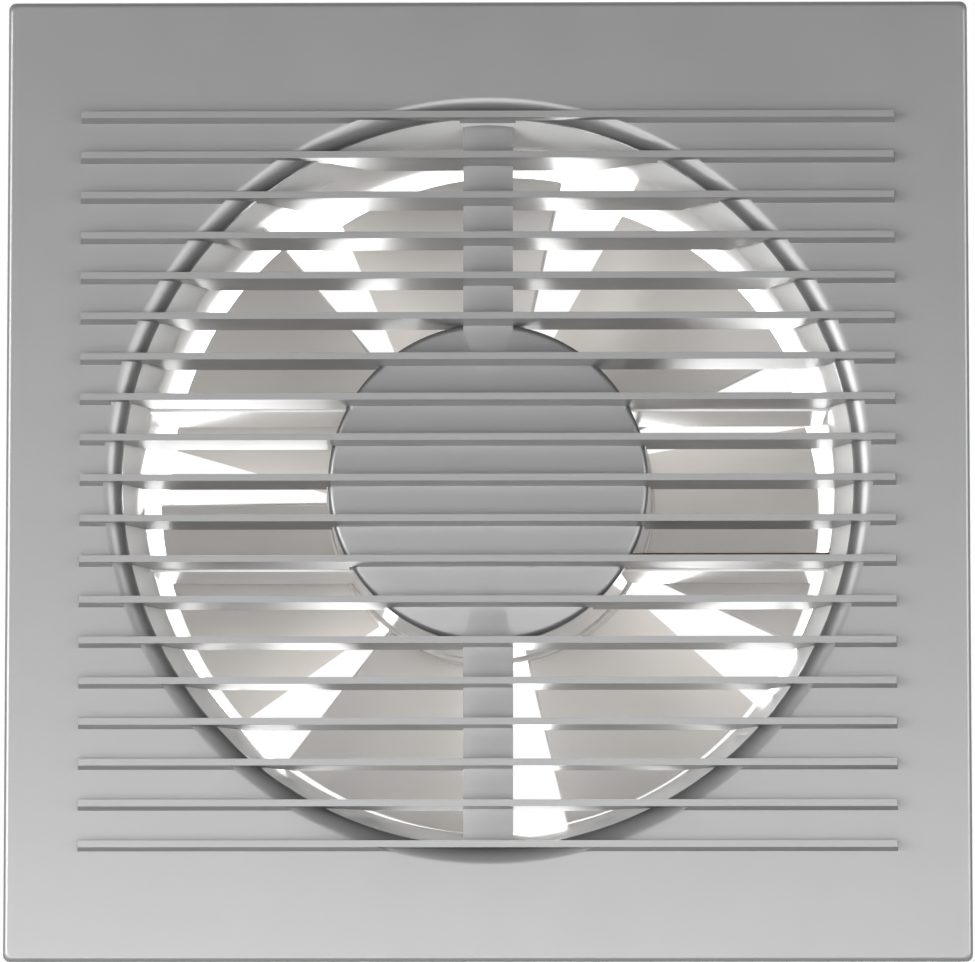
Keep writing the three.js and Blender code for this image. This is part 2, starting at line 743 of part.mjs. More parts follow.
// A pan-head screw along the duct axis, its head towards the room.
function screw(x, z, headFront, headHeight, headRadius, radius, tip) {
  return turned([
    [0, headFront],
    [headRadius * 0.8, headFront],
    [headRadius, headFront + headHeight * 0.4],
    [headRadius, headFront + headHeight],
    [radius, headFront + headHeight],
    [radius, tip - radius * 0.7],
    [radius * 0.4, tip],
    [0, tip],
  ], screwSides, x, z);
}

diagonals(motorScrewCircle).forEach(([x, z], i) => {
  addPart(`motor_screw_${i + 1}`, screw(
    x, z, screwHeadFront, motorScrewHead, motorScrewRadius + 1.3, motorScrewRadius, cupRear - 0.6,
  ), 'steel');
});

// ---- Impeller -----------------------------------------------------------------------------

// A twisted, cambered blade with its front edge at the given angle, swept towards +Z from +X.
function blade(frontEdge) {
  const geometry = new THREE.BoxGeometry(1, 1, 1, 6, 1, 3);
  const at = geometry.attributes.position;
  for (let i = 0; i < at.count; i += 1) {
    const chord = at.getX(i) + 0.5;
    const face = at.getY(i) * bladeThickness;
    const span = at.getZ(i) + 0.5;
    const radius = THREE.MathUtils.lerp(hubRadius - hubWall * 0.6, impellerRadius, span);
    const sweep = THREE.MathUtils.degToRad(THREE.MathUtils.lerp(bladeRootSweep, bladeTipSweep, span));
    const pitch = Math.atan2(bladeDepth, radius * sweep);
    const camber = 4 * bladeCamber * chord * (1 - chord);
    const angle = frontEdge + sweep * chord - face * Math.sin(pitch) / radius;
    const y = bladeFront + bladeDepth * chord - camber + face * Math.cos(pitch);
    at.setXYZ(i, radius * Math.cos(angle), y, radius * Math.sin(angle));
  }
  return solidOf(geometry);
}

const hubBossRadius = shaftRadius + hubBossWall;

function impellerHub() {
  const inner = hubRadius - hubWall;
  return turned([
    [inner, hubFront],
    [hubRadius, hubFront],
    [hubRadius, hubRear - hubShoulder],
    [hubRadius - 0.3 * hubShoulder, hubRear - 0.3 * hubShoulder],
    [hubRadius - hubShoulder, hubRear],
    [shaftRadius + GAP, hubRear],
    [shaftRadius + GAP, hubFront + hubBossSetback],
    [hubBossRadius, hubFront + hubBossSetback],
    [hubBossRadius + 0.6, hubRear - hubWeb],
    [inner - 3, hubRear - hubWeb],
    [inner, hubRear - hubWeb - 3],
  ], cupSides);
}

function impeller() {
  const blades = Array.from({ length: bladeCount }, (_, i) => blade(
    THREE.MathUtils.degToRad(firstBladeAngle - i * 360 / bladeCount),
  ));
  return join(impellerHub(), ...blades);
}

addPart('impeller', impeller(), 'white');

addPart('hub_nut', turned([
  [shaftRadius + GAP, hubRear + GAP],
  [shaftRadius + clipWidth, hubRear + GAP],
  [shaftRadius + clipWidth, hubRear + GAP + clipEdge],
  [shaftRadius + 0.9, hubRear + GAP + clipHeight],
  [shaftRadius + GAP, hubRear + GAP + clipHeight],
], 24), 'steel');

// ---- Wiring -------------------------------------------------------------------------------

const poleX = [terminalX - poleSpacing / 2, terminalX + poleSpacing / 2];
const screwSpacing = 6;
const blockLow = terminalZ - terminalWidth / 2;
const blockHigh = terminalZ + terminalWidth / 2;
const terminalScrewZ = [terminalZ - screwSpacing / 2, terminalZ + screwSpacing / 2];

function terminalBlock() {
  const half = insertSide / 2 + GAP;
  return cut(
    box(terminalX - terminalLength / 2, terminalX + terminalLength / 2,
      terminalFront, terminalBack, blockLow, blockHigh),
    ...poleX.map((x) => box(
      x - half, x + half, tunnelY - half, tunnelY + half, blockLow - 1, blockHigh + 1,
    )),
    ...poleX.flatMap((x) => terminalScrewZ.map(
      (z) => drum(smallScrewRadius + 0.7, terminalFront - 1, tunnelY, screwSides, x, z),
    )),
    box(terminalX - 0.6, terminalX + 0.6, terminalFront - 1, terminalFront + 3,
      blockLow - 1, blockHigh + 1),
  );
}

addPart('terminal_block', terminalBlock(), 'nylon');

['live', 'neutral'].forEach((name, i) => {
  const half = insertSide / 2;
  addPart(`terminal_insert_${name}`, cut(
    box(poleX[i] - half, poleX[i] + half, tunnelY - half, tunnelY + half, blockLow + 1, blockHigh - 1),
    rod(1.6, 'z', blockLow - 1, blockHigh + 1, poleX[i], tunnelY),
    ...terminalScrewZ.map(
      (z) => drum(smallHole, tunnelY - half - 1, tunnelY, screwSides, poleX[i], z),
    ),
  ), 'brass');
});

poleX.flatMap((x) => terminalScrewZ.map((z) => [x, z])).forEach(([x, z], i) => {
  const body = drum(smallScrewRadius, terminalFront + 1.2, tunnelY - 1, screwSides, x, z);
  addPart(`terminal_screw_${i + 1}`, body, 'steel');
});

function terminalCover() {
  const back = wallPlateFront - GAP;
  const [x0, x1] = [terminalX - coverHalfX, terminalX + coverHalfX];
  return cut(
    box(x0, x1, coverFront, back, coverBottom, coverTop),
    box(x0 + coverWall, x1 - coverWall, coverFront + coverWall, back + 1,
      coverBottom + coverWall, coverTop - coverWall),
    box(x0 - 1, x0 + coverWall + 1, back - 9, back + 1, cableZ - 4.4, cableZ + 4.4),
    ...poleX.map((x) => box(
      x - 1.4, x + 1.4, tunnelY - 1.4, back + 1, coverTop - coverWall - 1, coverTop + 1,
    )),
    drum(smallHole, coverFront - 1, coverFront + coverWall + 1, screwSides, coverScrewX, coverScrewZ),
  );
}

addPart('terminal_cover', terminalCover(), 'white');
addPart('terminal_cover_screw', screw(
  coverScrewX, coverScrewZ, coverFront - GAP - 1.6, 1.6, 2.7, smallScrewRadius, -4,
), 'steel');

addPart('cable_grommet', turned([
  [cableRadius, wallPlateFront - 1.5],
  [grommetFlangeRadius - 1, wallPlateFront - 1.5],
  [grommetFlangeRadius, wallPlateFront - 1],
  [grommetFlangeRadius, wallPlateFront - GAP],
  [grommetHoleRadius - GAP, wallPlateFront - GAP],
  [grommetHoleRadius - GAP, -counterboreDepth + GAP],
  [grommetFlangeRadius, -counterboreDepth + GAP],
  [grommetFlangeRadius, -0.1],
  [cableRadius, -0.1],
], 24, grommetX, cableZ), 'rubber');

function cableClamp() {
  const back = clampBossFront - GAP;
  return cut(
    join(
      box(clampX - 3, clampX + 3, back - 2.2, back, clampScrewZ[0] - 2.6, clampScrewZ[1] + 2.6),
      box(clampX - 3, clampX + 3, back - 3.4, back, cableZ - 3, cableZ + 3),
    ),
    rod(cableRadius, 'x', clampX - 4, clampX + 4, back + 2.2, cableZ, 16),
    ...clampScrewZ.map((z) => drum(smallHole, back - 5, back + 1, screwSides, clampX, z)),
  );
}

addPart('cable_clamp', cableClamp(), 'nylon');
clampScrewZ.forEach((z, i) => {
  const headFront = clampBossFront - GAP - 2.2 - GAP - 1.4;
  addPart(`cable_clamp_screw_${i + 1}`, screw(
    clampX, z, headFront, 1.4, 2.2, smallScrewRadius - 0.2, -2.2,
  ), 'steel');
});

// A lead from its terminal up the corner, through the collar and along the stay into the cup.
function lead(x, ductY, cupY) {
  const corner = collarRadius + 8;
  const points = [
    [x, tunnelY, blockHigh + 0.2],
    [x, tunnelY, coverTop + 2],
    [(x + corner) / 2 + 2, (tunnelY + ductY) / 2, (coverTop - 2 * stayHeight) / 2],
    [corner, ductY, leadZ - 12],
    [corner - 0.5, ductY, leadZ - 5],
    [corner - 4, ductY, leadZ - 0.6],
    [collarRadius + 2, ductY, leadZ],
    [ductRadius - 4, ductY, leadZ],
    [(ductRadius + cupFrontRadius) / 2, (ductY + cupY) / 2, leadZ],
    [cupFrontRadius + 2, cupY, leadZ],
    [cupInnerFront - 5, cupY, leadZ],
    [cupInnerFront - 8, cupY, leadZ + 1],
  ].map((point) => new THREE.Vector3(...point));
  const section = new THREE.Shape();
  section.absarc(0, 0, leadRadius, 0, 2 * Math.PI);
  return solidOf(new THREE.ExtrudeGeometry(section, {
    steps: 36, curveSegments: 3, bevelEnabled: false, extrudePath: new THREE.CatmullRomCurve3(points),
  }));
}

addPart('motor_lead_live', lead(poleX[0], ductLeadY - leadSpacing, cupLeadY - leadSpacing), 'brownWire');
addPart('motor_lead_neutral', lead(poleX[1], ductLeadY, cupLeadY), 'blueWire');

export default fan;
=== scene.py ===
# Bathroom extractor fan for a 150 mm duct, in metres: wall plane Y = 0, room towards -Y, Z up.
# The frame gives every fixed size and place, and the pieces that show are modelled round it.
import math

import bmesh
import bpy
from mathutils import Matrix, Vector


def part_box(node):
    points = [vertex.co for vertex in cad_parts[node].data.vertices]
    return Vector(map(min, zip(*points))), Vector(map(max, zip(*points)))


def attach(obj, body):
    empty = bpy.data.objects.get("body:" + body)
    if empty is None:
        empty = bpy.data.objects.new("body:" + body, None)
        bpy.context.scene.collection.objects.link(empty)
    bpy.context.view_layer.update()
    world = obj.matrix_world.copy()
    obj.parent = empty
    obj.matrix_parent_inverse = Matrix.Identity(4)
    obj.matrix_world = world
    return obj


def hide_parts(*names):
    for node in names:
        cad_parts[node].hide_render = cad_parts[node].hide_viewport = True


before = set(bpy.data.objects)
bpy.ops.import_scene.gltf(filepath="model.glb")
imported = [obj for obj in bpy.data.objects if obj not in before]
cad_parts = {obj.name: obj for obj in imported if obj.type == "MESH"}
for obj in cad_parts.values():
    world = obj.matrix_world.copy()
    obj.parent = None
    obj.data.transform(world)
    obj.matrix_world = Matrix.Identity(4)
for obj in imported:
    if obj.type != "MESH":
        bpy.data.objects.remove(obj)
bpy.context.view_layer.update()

mm = 0.001

# ---- Front grille -------------------------------------------------------------------------
# One moulding in silver-grey ABS: a square plate with a round mouth and a rolled lip, nineteen
# thin ribs across it, and an upright strip that carries the disc over the motor. It is pushed
# on over the rim of the wall plate by hand and pulls straight off.

grille_low, grille_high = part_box("front_grille")
plate_half = grille_high.x
rib_front = grille_low.y
skirt_back = grille_high.y
rib_proud = 3.5 * mm
plate_front = rib_front + rib_proud
shell_wall = 2.3 * mm
front_round = 1.1 * mm
corner_round = 1.5 * mm
mouth_radius = 76 * mm
lip_radius = 4 * mm
lip_back = plate_front + 5 * mm
circle_steps = 128

rib_pitch = 8.42 * mm
ribs_each_side = 9
rib_thickness = 1.4 * mm
rib_depth = 20 * mm
rib_half_length = 84.7 * mm
rib_root_drop = 0.85 * mm
rib_end_draft = 0.35 * mm
rib_overlap = 1.5 * mm
rib_back = rib_front + rib_depth

bell_front = lip_back + 0.5 * mm
bell_back = -6 * mm
bell_front_radius = 76.6 * mm
duct_radius = 72.6 * mm


def bell_radius(y):
    """Inner radius of the bell mouth of the housing at that depth."""
    along = min(max((y - bell_front) / (bell_back - bell_front), 0), 1)
    return duct_radius + (bell_front_radius - duct_radius) * (1 - math.sin(along * math.pi / 2))


def arc(radius, y, r, start, end, steps=6):
    """Points [radius, y] on an arc of radius r, its angles in degrees from +radius towards +Y."""
    turn = [math.radians(start + (end - start) * i / steps) for i in range(steps + 1)]
    return [(radius + r * math.cos(a), y + r * math.sin(a)) for a in turn]


def begin(name, add, **place):
    """Adds a primitive as a new piece, named, with its place in its mesh, and opens it in edit mode."""
    bpy.ops.object.select_all(action="DESELECT")
    add(**place)
    piece = bpy.context.object
    piece.name = name
    piece.data.name = name
    bpy.ops.object.transform_apply(location=True, rotation=True, scale=True)
    bpy.ops.object.mode_set(mode="EDIT")
    bpy.ops.mesh.select_mode(type="VERT")
    bpy.ops.mesh.select_all(action="SELECT")
    return piece


def pick(kind, test):
    """In edit mode, selects only the vertices, edges or faces that pass a test of their middle and normal."""
    bpy.ops.mesh.select_mode(type=kind)
    bpy.ops.mesh.select_all(action="DESELECT")
    data = bpy.context.object.data
    mesh = bmesh.from_edit_mesh(data)
    for element in {"VERT": mesh.verts, "EDGE": mesh.edges, "FACE": mesh.faces}[kind]:
        points = [element.co] if kind == "VERT" else [v.co for v in element.verts]
        middle = sum(points, Vector()) / len(points)
        way = (points[-1] - points[0]).normalized() if kind == "EDGE" else element.normal
        if test(middle, way):
            element.select_set(True)
    mesh.select_flush_mode()
    bmesh.update_edit_mesh(data)


def close(merge=0.002 * mm):
    """Merges doubles, turns the faces outwards and leaves edit mode."""
    bpy.ops.mesh.select_all(action="SELECT")
    bpy.ops.mesh.remove_doubles(threshold=merge)
    bpy.ops.mesh.normals_make_consistent(inside=False)
    bpy.ops.object.mode_set(mode="OBJECT")


def apply(piece, kind, **settings):
    """Adds one modifier to a piece, sets it and applies it."""
    bpy.ops.object.select_all(action="DESELECT")
    bpy.context.view_layer.objects.active = piece
    piece.select_set(True)
    modifier = piece.modifiers.new(kind.title(), kind)
    for key, value in settings.items():
        setattr(modifier, key, value)
    bpy.ops.object.modifier_apply(modifier=modifier.name)


def soften(piece, width, segments=2, angle=35):
    """Rounds every edge sharper than the angle."""
    apply(piece, "BEVEL", width=width, segments=segments, limit_method="ANGLE",
          angle_limit=math.radians(angle), use_clamp_overlap=True)


def combine(piece, tool, operation="UNION"):
    """Joins a tool to a piece, or cuts it away, and removes the tool."""
    apply(piece, "BOOLEAN", object=tool, operation=operation, solver="MANIFOLD")
    bpy.data.objects.remove(tool)


def smooth(piece, angle=32):
    """Smooth shading with creases at sharper angles, and large flat faces kept flat."""
    bpy.ops.object.select_all(action="DESELECT")
    bpy.context.view_layer.objects.active = piece
    piece.select_set(True)
    bpy.ops.object.shade_smooth_by_angle(angle=math.radians(angle))
    apply(piece, "WEIGHTED_NORMAL", mode="FACE_AREA", keep_sharp=True)


def turned(name, profile, steps=96, x=0, z=0, closed=True):
    """A profile of [radius, y] points drawn by extruding one point, then spun about a line along the duct."""
    first_radius, first_y = profile[0]
    piece = begin(name, bpy.ops.mesh.primitive_plane_add, size=mm, location=(x + first_radius, first_y, z))
    bpy.ops.mesh.merge(type="CENTER")
    for (r0, y0), (r1, y1) in zip(profile, profile[1:]):
        bpy.ops.mesh.extrude_region_move(TRANSFORM_OT_translate={"value": (r1 - r0, y1 - y0, 0)})
    if closed:
        ends = [Vector((x + r, y, z)) for r, y in (profile[0], profile[-1])]
        pick("VERT", lambda at, _: min((at - end).length for end in ends) < 0.001 * mm)
        bpy.ops.mesh.edge_face_add()
    bpy.ops.mesh.select_all(action="SELECT")
    bpy.ops.mesh.spin(steps=steps, angle=2 * math.pi, center=(x, 0, z), axis=(0, 1, 0))
    close()
    return piece


def drum(name, radius, y0, y1, steps=48, x=0, z=0):
    """A plain round bar along the duct."""
    piece = begin(name, bpy.ops.mesh.primitive_cylinder_add, vertices=steps, radius=radius, depth=y1 - y0,
                  location=(x, (y0 + y1) / 2, z), rotation=(math.pi / 2, 0, 0))
    close()
    return piece


def block(name, low, high):
    """A box between two corners."""
    middle = [(a + b) / 2 for a, b in zip(low, high)]
    piece = begin(name, bpy.ops.mesh.primitive_cube_add, size=1, location=middle,
                  scale=[b - a for a, b in zip(low, high)])
    close()
    return piece


def square_with_hole(name, half, corner, y, hole):
    """A thin square face with rounded corners and a round hole, bridged so that both have the same steps."""
    corner_steps = 4
    piece = begin(name, bpy.ops.mesh.primitive_plane_add, size=2 * half, location=(0, y, 0),
                  rotation=(math.pi / 2, 0, 0))
    bpy.ops.mesh.bevel(offset=corner, segments=corner_steps, affect="VERTICES")
    bpy.ops.mesh.delete(type="ONLY_FACE")
    pick("EDGE", lambda at, way: max(abs(way.x), abs(way.z)) > 0.999
         and max(abs(at.x), abs(at.z)) > half - 0.01 * mm)
    bpy.ops.mesh.subdivide(number_cuts=circle_steps // 4 - corner_steps - 1)
    bpy.ops.mesh.select_all(action="DESELECT")
    bpy.ops.mesh.primitive_circle_add(vertices=circle_steps, radius=hole, location=(0, y, 0),
                                      rotation=(math.pi / 2, 0, 0))
    bpy.ops.mesh.select_all(action="SELECT")
    bpy.ops.mesh.bridge_edge_loops()
    return piece


def radius_of(at):
    return math.hypot(at.x, at.z)


def grow(y_from, y_to, size_from, size_to):
    """Extrudes the selected loop along the duct and scales it about the axis."""
    ratio = size_to / size_from
    bpy.ops.mesh.extrude_region_move(TRANSFORM_OT_translate={"value": (0, y_to - y_from, 0)})
    bpy.ops.transform.resize(value=(ratio, 1, ratio), center_override=(0, y_to, 0))


def follow(path):
    """Extrudes the selected loop along a path of [size, y] points."""
    for (size_a, y_a), (size_b, y_b) in zip(path, path[1:]):
        grow(y_a, y_b, size_a, size_b)


flat_half = plate_half - front_round
grille = square_with_hole("grille", flat_half, corner_round, plate_front, mouth_radius + lip_radius)
pick("EDGE", lambda at, _: abs(radius_of(at) - mouth_radius - lip_radius) < 0.1 * mm)
follow(arc(mouth_radius + lip_radius, plate_front + lip_radius, lip_radius, 270, 180, 8)
       + [(mouth_radius, lip_back)])
pick("EDGE", lambda at, _: max(abs(at.x), abs(at.z)) > flat_half - corner_round
     and radius_of(at) > plate_half - 2 * mm
     and abs(at.y - plate_front) < 0.01 * mm
     and (max(abs(at.x), abs(at.z)) > flat_half - 0.01 * mm or radius_of(at) > flat_half * 1.395))
follow(arc(flat_half, plate_front + front_round, front_round, 270, 360, 4) + [(plate_half, skirt_back)])
close()
apply(grille, "SOLIDIFY", thickness=shell_wall, offset=-1, use_even_offset=True)


def rib_reach(y, z):
    """Half length of a rib at that depth: over the plate in front, into the lip, then clear of the bell."""
    if y < plate_front + 1 * mm:
        return math.sqrt((mouth_radius + lip_radius + rib_overlap) ** 2 - z * z)
    if y < lip_back:
        return math.sqrt(max((mouth_radius + 0.7 * mm) ** 2 - z * z, 0))
    return math.sqrt(max((bell_radius(y) - 1 * mm) ** 2 - z * z, 0))


rib_rows = [rib_front, plate_front, plate_front + 1.4 * mm, lip_back - 0.2 * mm, lip_back + 0.2 * mm,
            -20 * mm, -17 * mm, -14 * mm, rib_back]


def rib(z):
    """A thin plate in the mouth, drawn row by row from the front and then given its thickness."""
    outline = [(y, rib_reach(y, abs(z) + rib_thickness / 2)) for y in rib_rows]
    outline = [(y, reach) for y, reach in outline if reach > 4 * mm]
    (front, width), (second, _) = outline[:2]
    middle = (0, (front + second) / 2, z)
    piece = begin("rib", bpy.ops.mesh.primitive_plane_add, size=1, location=middle)
    bpy.ops.transform.resize(value=(2 * width, second - front, 1), center_override=middle)
    pick("EDGE", lambda at, way: abs(way.x) > 0.9 and abs(at.y - second) < 0.01 * mm)
    for (y0, reach0), (y1, reach1) in zip(outline[1:], outline[2:]):
        bpy.ops.mesh.extrude_region_move(TRANSFORM_OT_translate={"value": (0, y1 - y0, 0)})
        bpy.ops.transform.resize(value=(reach1 / reach0, 1, 1), center_override=(0, y1, z))
    close()
    apply(piece, "SOLIDIFY", thickness=rib_thickness, offset=0)
    return piece


def rail(z):
    """The stretch of a rib that stands on the plate: square above, sloped below, drafted at its ends."""
    half = rib_thickness / 2
    piece = block("rail", (-rib_half_length, rib_front, z - half - rib_root_drop),
                  (rib_half_length, plate_front + 0.6 * mm, z + half))
    bpy.ops.object.mode_set(mode="EDIT")
    pick("EDGE", lambda at, way: abs(way.x) > 0.9 and at.y < rib_front + 0.1 * mm and at.z < z)
    bpy.ops.transform.translate(value=(0, 0, rib_root_drop))
    pick("VERT", lambda at, _: at.y < rib_front + 0.1 * mm)
    shrink = 1 - rib_end_draft / rib_half_length
    bpy.ops.transform.resize(value=(shrink, 1, 1), center_override=(0, rib_front, z))
    bpy.ops.object.mode_set(mode="OBJECT")
    return piece


strip_half = 5.2 * mm
strip_front = rib_front + 13 * mm
strip_thickness = 2.5 * mm
strip_crown = 0.45 * mm

throat = drum("throat", mouth_radius + lip_radius - 0.2 * mm, rib_front - 5 * mm, 0, circle_steps)
rails = None
ribs = None
for i in range(-ribs_each_side, ribs_each_side + 1):
    one_rail = rail(i * rib_pitch)
    one_rib = rib(i * rib_pitch)
    if rails is None:
        rails, ribs = one_rail, one_rib
    else:
        combine(rails, one_rail)
        combine(ribs, one_rib)
combine(rails, throat, "DIFFERENCE")

strip = block("strip", (-strip_half, strip_front, -mouth_radius),
              (strip_half, strip_front + strip_thickness, mouth_radius))
bpy.ops.object.mode_set(mode="EDIT")
pick("EDGE", lambda at, way: abs(way.x) > 0.9)
bpy.ops.mesh.subdivide(number_cuts=7)
for column in range(1, 8):
    share = column / 4 - 1
    pick("VERT", lambda at, _: abs(at.x - share * strip_half) < 0.1 * mm and at.y < strip_front + 0.1 * mm)
    bpy.ops.transform.translate(value=(0, -strip_crown * (1 - share * share), 0))
bpy.ops.object.mode_set(mode="OBJECT")

disc_radius = 33.51 * mm
disc_crown = 0.8 * mm
disc_back = strip_front + strip_thickness
behind_disc = drum("behind_disc", disc_radius + 0.4 * mm, strip_front + 1.2 * mm, 0, circle_steps)
combine(ribs, strip)
combine(ribs, behind_disc, "DIFFERENCE")
disc_rim = 1.2 * mm
disc = turned("disc", [
    *[(disc_radius * share, strip_front - disc_crown * (1 - share * share))
      for share in (0, 0.15, 0.3, 0.45, 0.6, 0.75, 0.88)],
    *arc(disc_radius - disc_rim, strip_front + disc_rim, disc_rim, 270, 360, 6),
    (disc_radius, disc_back + 0.4 * mm),
    (disc_radius - 1.8 * mm, disc_back + 0.4 * mm),
    (disc_radius - 1.8 * mm, disc_back - 0.4 * mm),
    (0, disc_back - 0.4 * mm),
], 128, closed=False)
combine(ribs, disc)
combine(grille, rails)
combine(grille, ribs)

pad_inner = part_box("wall_plate")[1].x + 0.4 * mm
pad_half_width = 7 * mm
for quarter in range(4):
    pad = block("pad", (pad_inner, plate_front + 1.9 * mm, -pad_half_width),
                (plate_half - 1 * mm, -6.1 * mm, pad_half_width))
    pad.rotation_euler = (0, quarter * math.pi / 2, 0)
    bpy.ops.object.select_all(action="DESELECT")
    bpy.context.view_layer.objects.active = pad
    pad.select_set(True)
    bpy.ops.object.transform_apply(location=True, rotation=True, scale=True)
    combine(grille, pad)
soften(grille, 0.22 * mm, 2, 50)
smooth(grille)
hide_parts("front_grille")
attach(grille, "front_cover")


def node(tree, kind, inputs=(), **settings):
    """Adds a shader node, sets it, and gives each named input a value or links it to an output."""
    made = tree.nodes.new("ShaderNode" + kind)
    for key, value in settings.items():
        setattr(made, key, value)
    for socket, value in dict(inputs).items():
        if isinstance(value, bpy.types.NodeSocket):
            tree.links.new(value, made.inputs[socket])
        else:
            made.inputs[socket].default_value = value
    return made


def new_group(name, inputs, outputs):
    """A shader node group with its sockets; gives back the tree, its input sockets and its output node."""
    tree = bpy.data.node_groups.new(name, "ShaderNodeTree")
    for label, kind, value in inputs:
        socket = tree.interface.new_socket(label, in_out="INPUT", socket_type="NodeSocket" + kind)
        socket.default_value = value
    for label, kind in outputs:
        tree.interface.new_socket(label, in_out="OUTPUT", socket_type="NodeSocket" + kind)
    return tree, tree.nodes.new("NodeGroupInput").outputs, tree.nodes.new("NodeGroupOutput")


def skin_group(name, draw):
    """A finish as a node group: draw gives back its masks for colour and gloss, and its height."""
    tree, given, result = new_group(name, [
        ("Color", "Color", (0.8, 0.8, 0.8, 1)), ("Second Color", "Color", (0.7, 0.7, 0.7, 1)),
        ("Gloss Low", "Float", 0.25), ("Gloss High", "Float", 0.35), ("Scale", "Float", 900.0),
    ], [("Color", "Color"), ("Roughness", "Float"), ("Height", "Float")])
    where = node(tree, "TexCoord").outputs["Object"]
    color_mask, gloss_mask, height = draw(tree, where, given["Scale"])
    color = node(tree, "Mix", {"Factor": color_mask, 6: given["Color"], 7: given["Second Color"]},
                 data_type="RGBA")
    gloss = node(tree, "MapRange", {"Value": gloss_mask, "To Min": given["Gloss Low"],
                                    "To Max": given["Gloss High"]})
    tree.links.new(color.outputs[2], result.inputs["Color"])
    tree.links.new(gloss.outputs["Result"], result.inputs["Roughness"])
    tree.links.new(height, result.inputs["Height"])
    return tree


def stretch(tree, value, low, high):
    """Spreads the middle of a noise over the whole range from 0 to 1."""
    return node(tree, "MapRange", {"Value": value, "From Min": low, "From Max": high}).outputs["Result"]


def moulded_skin(tree, where, scale):
    """Injection-moulded plastic: faint flow marks in the colour, uneven gloss and a very fine grain."""
    flow = node(tree, "TexNoise", {"Vector": where, "Scale": 14.0, "Detail": 3.0, "Distortion": 0.8})
    patches = node(tree, "TexNoise", {"Vector": where, "Scale": 85.0, "Detail": 4.0})
    grain = node(tree, "TexNoise", {"Vector": where, "Scale": scale, "Detail": 2.0})
    return (stretch(tree, flow.outputs["Fac"], 0.35, 0.65), stretch(tree, patches.outputs["Fac"], 0.3, 0.7),
            grain.outputs["Fac"])


moulded = skin_group("moulded", moulded_skin)


def surface(name, **constants):
    """A new material with its Principled shader; constants are set on the shader's own sockets."""
    made = bpy.data.materials.new(name)
    made.use_nodes = True
    tree = made.node_tree
    shader = tree.nodes["Principled BSDF"]
    for key, value in constants.items():
        shader.inputs[key.replace("_", " ")].default_value = value
    return made, tree, shader


def finish(name, skin, color, second, gloss, scale, bump, **constants):
    """A material from a finish: two colours, a range of roughness, pattern scale and relief depth."""
    made, tree, shader = surface(name, **constants)
    coat = node(tree, "Group", {"Color": (*color, 1), "Second Color": (*second, 1), "Gloss Low": gloss[0],
                                "Gloss High": gloss[1], "Scale": scale}, node_tree=skin)
    relief = node(tree, "Bump", {"Height": coat.outputs["Height"], "Distance": bump, "Strength": 0.5})
    tree.links.new(coat.outputs["Color"], shader.inputs["Base Color"])
    tree.links.new(coat.outputs["Roughness"], shader.inputs["Roughness"])
    tree.links.new(relief.outputs["Normal"], shader.inputs["Normal"])
    return made


def paint(piece, material):
    piece.data.materials.clear()
    piece.data.materials.append(material)


silver_plastic = finish("silver_abs", moulded, (0.222, 0.222, 0.223), (0.219, 0.219, 0.221), (0.35, 0.38),
                        1600, 0.004 * mm, Metallic=0.55, Coat_Weight=0.3, Coat_Roughness=0.18)
paint(grille, silver_plastic)

# ---- Housing ------------------------------------------------------------------------------
# One moulding in glossy white ABS: the wall plate with its rim, the bell mouth and duct spigot,
# and four flat stays that carry the motor cup. It is screwed to the wall through its corners.

wall_plate_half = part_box("wall_plate")[1].x
spigot_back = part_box("duct_sleeve")[1].y
wall_plate_thickness = 2.4 * mm
rim_height = 7.6 * mm
rim_wall = 1.8 * mm
bell_wall = 2 * mm
spigot_wall = 1.7 * mm
stay_height = 2 * rib_pitch
stay_thickness = 2.2 * mm
stay_front = rib_back + 0.5 * mm
cup_front = stay_front - 1 * mm
cup_back = 20 * mm
cup_floor = 2 * mm
cup_wall = 1.8 * mm
cup_front_radius = disc_radius - 0.9 * mm
cup_back_radius = cup_front_radius + 1.8 * mm
floor_hole = 6.9 * mm


def bell_line(offset, steps=10):
    return [(bell_radius(y) + offset, y) for y in
            (bell_front + (bell_back - bell_front) * i / steps for i in range(steps + 1))]


wall_plate_corner = 3 * mm
housing = square_with_hole("fan_housing", wall_plate_half, wall_plate_corner, -wall_plate_thickness / 2,
                           duct_radius + 0.9 * mm)
close()
apply(housing, "SOLIDIFY", thickness=wall_plate_thickness, offset=0)

rim = begin("rim", bpy.ops.mesh.primitive_plane_add, size=2 * wall_plate_half, location=(0, -0.5 * mm, 0),
            rotation=(math.pi / 2, 0, 0))
bpy.ops.mesh.bevel(offset=wall_plate_corner, segments=4, affect="VERTICES")
bpy.ops.mesh.delete(type="ONLY_FACE")
bpy.ops.mesh.select_all(action="SELECT")
bpy.ops.mesh.extrude_region_move(
    TRANSFORM_OT_translate={"value": (0, -wall_plate_thickness - rim_height + 0.5 * mm, 0)})
close()
apply(rim, "SOLIDIFY", thickness=rim_wall, offset=-1, use_even_offset=True)
combine(housing, rim)

duct = turned("duct", [
    *bell_line(0),
    (duct_radius, spigot_back - 0.6 * mm),
    (duct_radius + 0.4 * mm, spigot_back),
    (duct_radius + spigot_wall - 0.9 * mm, spigot_back),
    (duct_radius + spigot_wall, spigot_back - 2 * mm),
    (duct_radius + spigot_wall, bell_back),
    *reversed(bell_line(bell_wall)),
], 160)
combine(housing, duct)

